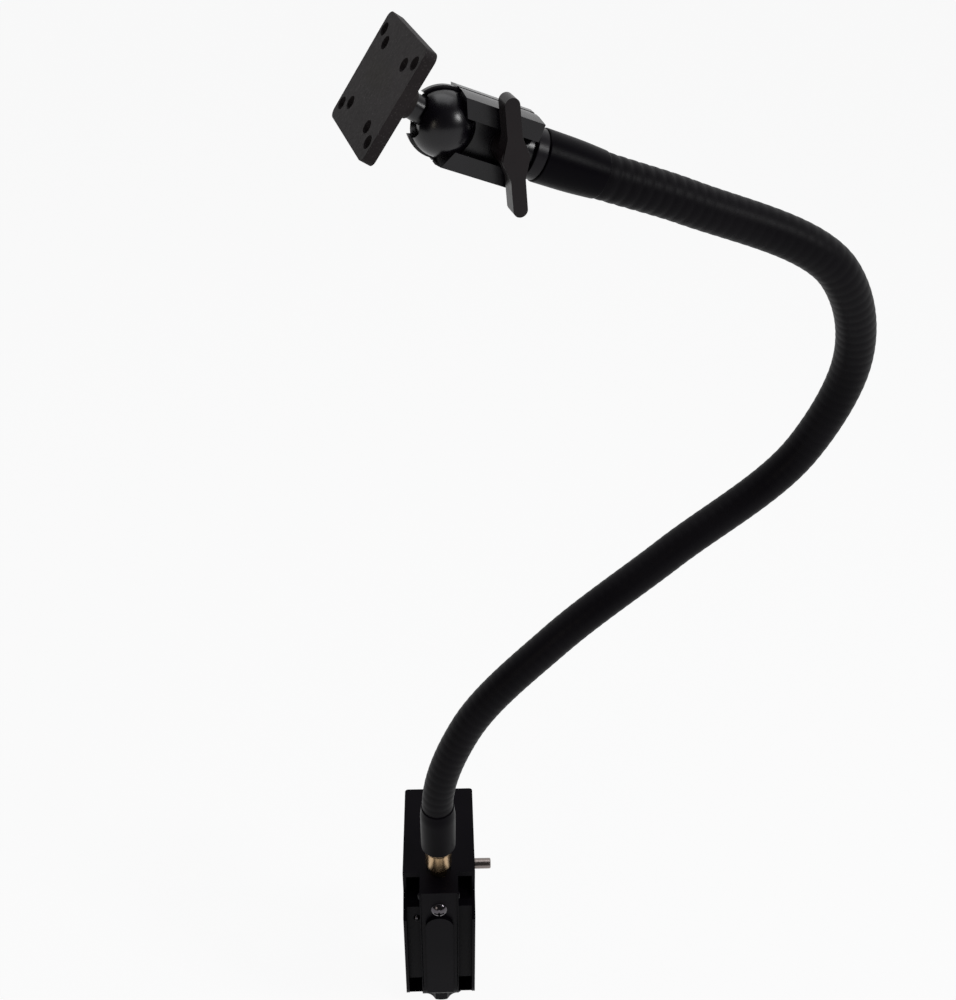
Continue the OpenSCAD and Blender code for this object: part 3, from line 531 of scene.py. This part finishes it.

# Gooseneck. The sheath is a soft black tube with close rings, and the core inside it is wound spring steel.
# Both follow one curve through listed knots, from the lower sleeve to the upper one, in millimetres.
BALL = Vector((6.9, -37.8, 486))
HEAD_TURN = Euler([math.radians(a) for a in (93, 21, 16)])
head_frame = Matrix.Translation(BALL * MM) @ HEAD_TURN.to_matrix().to_4x4()
head_dir = (head_frame.to_3x3() @ Vector((1, 0, 0))).normalized()
SOCKET_LEN = 33.6
SOCKET_NECK = 1.4
RING_X = SOCKET_LEN + SOCKET_NECK
RING_WIDE = 5
SLEEVE_X = RING_X + RING_WIDE
SLEEVE_LEN = 27.6
SLEEVE_END = SLEEVE_X + SLEEVE_LEN
knots = [Vector(p) for p in ((0, 0, z1), (16, 2.5, 139.5), (64.5, 9, 199), (125, 25, 244.5),
                             (191, 37, 301.5), (204, 30, 351.5), (181.5, 9, 408.5), (106.5, -8, 446.5))]
knots.append(BALL + SLEEVE_END * head_dir)
chords = [(b - a).length for a, b in zip(knots, knots[1:])]
knot_dirs = [Vector((0, 0, 1))]
for i in range(1, len(knots) - 1):
    before, after = chords[i - 1], chords[i]
    knot_dirs.append(((knots[i + 1] - knots[i]) / after * before + (knots[i] - knots[i - 1]) / before * after)
                     / (before + after))
knot_dirs.append(-head_dir)


# Point of the curve at a share u of the way from a knot to the next.
def curve_point(i, u):
    c = chords[i]
    return ((2 * u ** 3 - 3 * u ** 2 + 1) * knots[i] + (u ** 3 - 2 * u ** 2 + u) * c * knot_dirs[i]
            + (3 * u ** 2 - 2 * u ** 3) * knots[i + 1] + (u ** 3 - u ** 2) * c * knot_dirs[i + 1])


STEPS = 40
route = [curve_point(i, k / STEPS) for i in range(len(chords)) for k in range(STEPS)] + [knots[-1]]
runs = [0.0]
for a, b in zip(route, route[1:]):
    runs.append(runs[-1] + (b - a).length)
arm_len = runs[-1]


# Point and direction of the curve at a distance from its lower end, straight on past either end.
def arm_point(s):
    if s <= 0:
        return knots[0] + Vector((0, 0, s)), Vector((0, 0, 1))
    if s >= arm_len:
        return knots[-1] - (s - arm_len) * head_dir, -head_dir
    low, high = 0, len(runs) - 1
    while high - low > 1:
        middle = (low + high) // 2
        low, high = (middle, high) if runs[middle] <= s else (low, middle)
    t = (s - runs[low]) / (runs[high] - runs[low])
    before, after = max(0, low - 1), min(len(route) - 1, high + 1)
    return route[low].lerp(route[high], t), (route[after] - route[before]).normalized()


# Closed tube through rings of (distance along the arm, radius), outside first and then back inside.
def arm_tube(rings, sides):
    shape = bmesh.new()
    loops = []
    for s, r in rings:
        centre, ahead = arm_point(s)
        side = Vector((0, 1, 0)).cross(ahead).normalized()
        up = ahead.cross(side)
        loops.append([shape.verts.new((centre + r * (math.cos(2 * math.pi * k / sides) * side
                                                     + math.sin(2 * math.pi * k / sides) * up)) * MM)
                      for k in range(sides)])
    for a, b in zip(loops, loops[1:] + loops[:1]):
        for k in range(sides):
            n = (k + 1) % sides
            shape.faces.new((a[k], b[k], b[n], a[n]))
    bmesh.ops.recalc_face_normals(shape, faces=shape.faces)
    return shape


# The sheath's rings are soft, and a little deeper near the head.
SHEATH_R = 9.25
SHEATH_BORE = 6.6
SHEATH_SIDES = 40
SHEATH_SKIN = 0.03
RIB_PITCH = 5.2
RIB_STEPS = 8
RIB_DEPTH = 0.1
HEAD_RIB_DEPTH = 0.16
HEAD_RIB_REACH = 70
rib_count = round(arm_len / RIB_PITCH)
rib_pitch = arm_len / rib_count
outside = []
for i in range(rib_count * RIB_STEPS + 1):
    s = i * rib_pitch / RIB_STEPS
    wave = 0.5 + 0.5 * math.cos(2 * math.pi * i / RIB_STEPS)
    near_head = max(0, 1 - (arm_len - s) / HEAD_RIB_REACH)
    outside.append((s, SHEATH_R - (SHEATH_SKIN + (RIB_DEPTH + HEAD_RIB_DEPTH * near_head) * wave ** 2)))
inside = [(i * rib_pitch, SHEATH_BORE) for i in range(rib_count, -1, -1)]
sheath_black = black_material("sheath_black", (0.003, 0.0025, 0.0036), (0.0055, 0.0048, 0.0062), 0.06, 500,
                              (0.4, 0.52), 0.1)
sheath = finish_piece("gooseneck_ribbed_sheath", arm_tube(outside + inside, SHEATH_SIDES), sheath_black,
                      None, "gooseneck_sheath", 80)
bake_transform(sheath)

# The core's outside steps in and out with each winding. Its ends are seated in the adapter and the fitting.
CORE_R = 6.5
CORE_BORE = 4
CORE_SIDES = 24
WINDING = 1.5
WINDING_DEPTH = 0.5
BORE_STEPS = 160
SEAT_LOW = -27.7
HEAD_SEAT = 20
core_len = arm_len + HEAD_SEAT - SEAT_LOW
core_steps = int(core_len / WINDING)
core_outside = [(SEAT_LOW + core_len * i / core_steps, CORE_R - WINDING_DEPTH * (i % 2))
                for i in range(core_steps + 1)]
core_inside = [(SEAT_LOW + core_len * i / BORE_STEPS, CORE_BORE) for i in range(BORE_STEPS, -1, -1)]
core_steel = metal_material("core_steel", (0.2, 0.2, 0.21), (0.36, 0.36, 0.37), 800, (0.35, 0.5), 0.1)
core = finish_piece("gooseneck_wound_core", arm_tube(core_outside + core_inside, CORE_SIDES), core_steel,
                    None, "gooseneck_core", 30)
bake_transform(core)


# Upper sleeve, ring and fitting: black tube, dark painted ring, and turned fitting from core to socket.
# They lie along the socket's length, so their sections turn about its X axis.
UPPER_R = 10.3
UPPER_WAIST_R = 10.2
UPPER_TIP_R = 9.5
RING_R = 9.8
RING_BORE = 6


def along_head(shape, x):
    place = head_frame @ Matrix.Translation((x * MM, 0, 0)) @ Matrix.Rotation(math.pi / 2, 4, "Y")
    bmesh.ops.transform(shape, verts=shape.verts, matrix=place)
    return shape


upper_section = rounded_section([(TAIL_BORE, 0, 0), (UPPER_R, 0, 0.6), (UPPER_WAIST_R, TAIL_DEPTH, 6),
                                 (UPPER_TIP_R, SLEEVE_LEN, 0.7), (NARROW_BORE, SLEEVE_LEN, 0),
                                 (NARROW_BORE, TAIL_DEPTH, 0), (TAIL_BORE, TAIL_DEPTH, 0)])
finish_piece("upper_sleeve", along_head(turned(upper_section), SLEEVE_X), sleeve_black,
             "arm_head", "upper_collar")
ring_dark = black_material("ring_dark", (0.006, 0.005, 0.007), (0.012, 0.01, 0.013), 0.16, 400,
                           (0.3, 0.4), 0.04)
ring_section = rounded_section([(RING_BORE, 0, 0), (RING_R, 0, 0.5), (RING_R, RING_WIDE, 0.6),
                                (RING_BORE, RING_WIDE, 0)])
finish_piece("ferrule_ring_polished", along_head(turned(ring_section), RING_X), ring_dark,
             "arm_head", "ferrule_ring")
dressed_copy("head_fitting", zinc, "arm_head", 0.2)

# Ball socket: two glossy black mouldings, each with a dome over the ball and two rails along the bolt.
# The bolt pulls them together on the ball.
socket_black = black_material("socket_black", (0.0032, 0.0024, 0.0045), (0.0055, 0.0044, 0.0065), 0.36, 420,
                              (0.24, 0.32), 0.06)
dressed_copy("socket_base", socket_black, "arm_head", 0.5, 3)
dressed_copy("socket_cap", socket_black, "cap", 0.5, 3)

# Bolt, spring and washer of the socket, and the knob's insert: plated steel, spring wire and turned brass.
# The bolt goes through both halves into the insert, and the spring round it opens them.
dressed_copy("socket_bolt", zinc, "arm_head", 0.2)
BOLT_X = 23.6
POCKET_LOW = -3.2
POCKET_HIGH = 0.8
SPRING_R = 4.05
SPRING_TURNS = 2.5
SPRING_STEPS = 120
WIRE_R = 0.45
WIRE_SIDES = 12
spring_rise = POCKET_HIGH - POCKET_LOW - 2 * WIRE_R
spring = bmesh.new()
spring_loops = []
for i in range(SPRING_STEPS + 1):
    a = 2 * math.pi * SPRING_TURNS * i / SPRING_STEPS
    out = Vector((math.cos(a), math.sin(a), 0))
    up = Vector((0, 0, 1))
    middle = Vector((BOLT_X + SPRING_R * math.cos(a), SPRING_R * math.sin(a),
                     POCKET_LOW + WIRE_R + spring_rise * i / SPRING_STEPS))
    turns = [2 * math.pi * k / WIRE_SIDES for k in range(WIRE_SIDES)]
    spring_loops.append([spring.verts.new((middle + WIRE_R * (math.cos(b) * out + math.sin(b) * up)) * MM)
                         for b in turns])
for a, b in zip(spring_loops, spring_loops[1:]):
    for k in range(WIRE_SIDES):
        n = (k + 1) % WIRE_SIDES
        spring.faces.new((a[k], b[k], b[n], a[n]))
spring.faces.new(spring_loops[0])
spring.faces.new(spring_loops[-1])
bmesh.ops.recalc_face_normals(spring, faces=spring.faces)
bmesh.ops.transform(spring, verts=spring.verts, matrix=head_frame)
finish_piece("socket_spring_wire", spring, steel, "arm_head", "socket_spring", 60)
dressed_copy("knob_washer", ring_dark, "cap", 0.1)
brass = metal_material("brass", (0.5, 0.34, 0.14), (0.7, 0.52, 0.26), 600, (0.2, 0.32), 0.08)
dressed_copy("knob_insert", brass, "knob", 0.15)

# Wing knob: satin black moulding with two soft-edged wings, moulded round its insert.
# It turns on the bolt's end, against the washer, and tightens the socket.
knob_black = black_material("knob_black", (0.006, 0.0042, 0.0058), (0.011, 0.0075, 0.0085), 0.2, 300,
                            (0.28, 0.42), 0.12)
dressed_copy("wing_knob", knob_black, "knob", 1.0, 4)

# Ball with its stud: one glossy black piece.
# The socket grips the ball, and the stud's end is fixed in the plate's boss.
dressed_copy("ball_stud", socket_black, "ball", 0.3)

# Mounting plate: matte charcoal casting with eight holes and a boss behind, rubbed lighter in specks.
# A faint brown smear runs over its front, between the holes.
plate_charcoal, nodes, links, shader = new_material("plate_charcoal")
shader.inputs["Specular IOR Level"].default_value = 0.15
add_grain(nodes, links, shader, (0.012, 0.0095, 0.01), (0.022, 0.018, 0.019), 650, (0.55, 0.75), 0.5)
charcoal = shader.inputs["Base Color"].links[0].from_socket
plate_place = nodes.new("ShaderNodeTexCoord")
specks = noise_at(nodes, links, plate_place, 1500, 2)
speck_share = nodes.new("ShaderNodeMapRange")
speck_share.inputs["From Min"].default_value = 0.6
speck_share.inputs["From Max"].default_value = 0.75
links.new(specks, speck_share.inputs["Value"])
rubbed = nodes.new("ShaderNodeMix")
rubbed.data_type = "RGBA"
rubbed.inputs["B"].default_value = (0.05, 0.044, 0.045, 1)
links.new(speck_share.outputs["Result"], rubbed.inputs["Factor"])
links.new(charcoal, rubbed.inputs["A"])
SMEAR_AT = Vector((-15.3, -43.9, 504.1)) * MM
SMEAR_LONG = 34 * MM
SMEAR_WIDE = 14 * MM
SMEAR_THROUGH = 80 * MM
PLATE_TURN = Euler([math.radians(a) for a in (98, 32.5, 21.4)])
smear_space = nodes.new("ShaderNodeVectorMath")
smear_space.operation = "SUBTRACT"
smear_space.inputs[1].default_value = SMEAR_AT
links.new(plate_place.outputs["Object"], smear_space.inputs[0])
smear_turn = nodes.new("ShaderNodeVectorRotate")
smear_turn.rotation_type = "EULER_XYZ"
smear_turn.invert = True
smear_turn.inputs["Rotation"].default_value = PLATE_TURN
links.new(smear_space.outputs[0], smear_turn.inputs["Vector"])
smear_size = nodes.new("ShaderNodeVectorMath")
smear_size.operation = "DIVIDE"
smear_size.inputs[1].default_value = (SMEAR_THROUGH / 2, SMEAR_WIDE / 2, SMEAR_LONG / 2)
links.new(smear_turn.outputs[0], smear_size.inputs[0])
smear_far = nodes.new("ShaderNodeVectorMath")
smear_far.operation = "LENGTH"
links.new(smear_size.outputs[0], smear_far.inputs[0])
smear_cloud = noise_at(nodes, links, plate_place, 160, 4)
smear_edge = nodes.new("ShaderNodeMath")
smear_edge.operation = "ADD"
links.new(smear_far.outputs["Value"], smear_edge.inputs[0])
links.new(smear_cloud, smear_edge.inputs[1])
smear_share = nodes.new("ShaderNodeMapRange")
smear_share.inputs["From Min"].default_value = 0.7
smear_share.inputs["From Max"].default_value = 1.6
smear_share.inputs["To Min"].default_value = 0.75
smear_share.inputs["To Max"].default_value = 0.0
links.new(smear_edge.outputs[0], smear_share.inputs["Value"])
smeared = nodes.new("ShaderNodeMix")
smeared.data_type = "RGBA"
smeared.inputs["B"].default_value = (0.0115, 0.0085, 0.0062, 1)
links.new(smear_share.outputs["Result"], smeared.inputs["Factor"])
links.new(rubbed.outputs["Result"], smeared.inputs["A"])
links.new(smeared.outputs["Result"], shader.inputs["Base Color"])
dressed_copy("mounting_plate", plate_charcoal, "plate", 0.4, 3)

bpy.context.scene.view_settings.view_transform = "Standard"
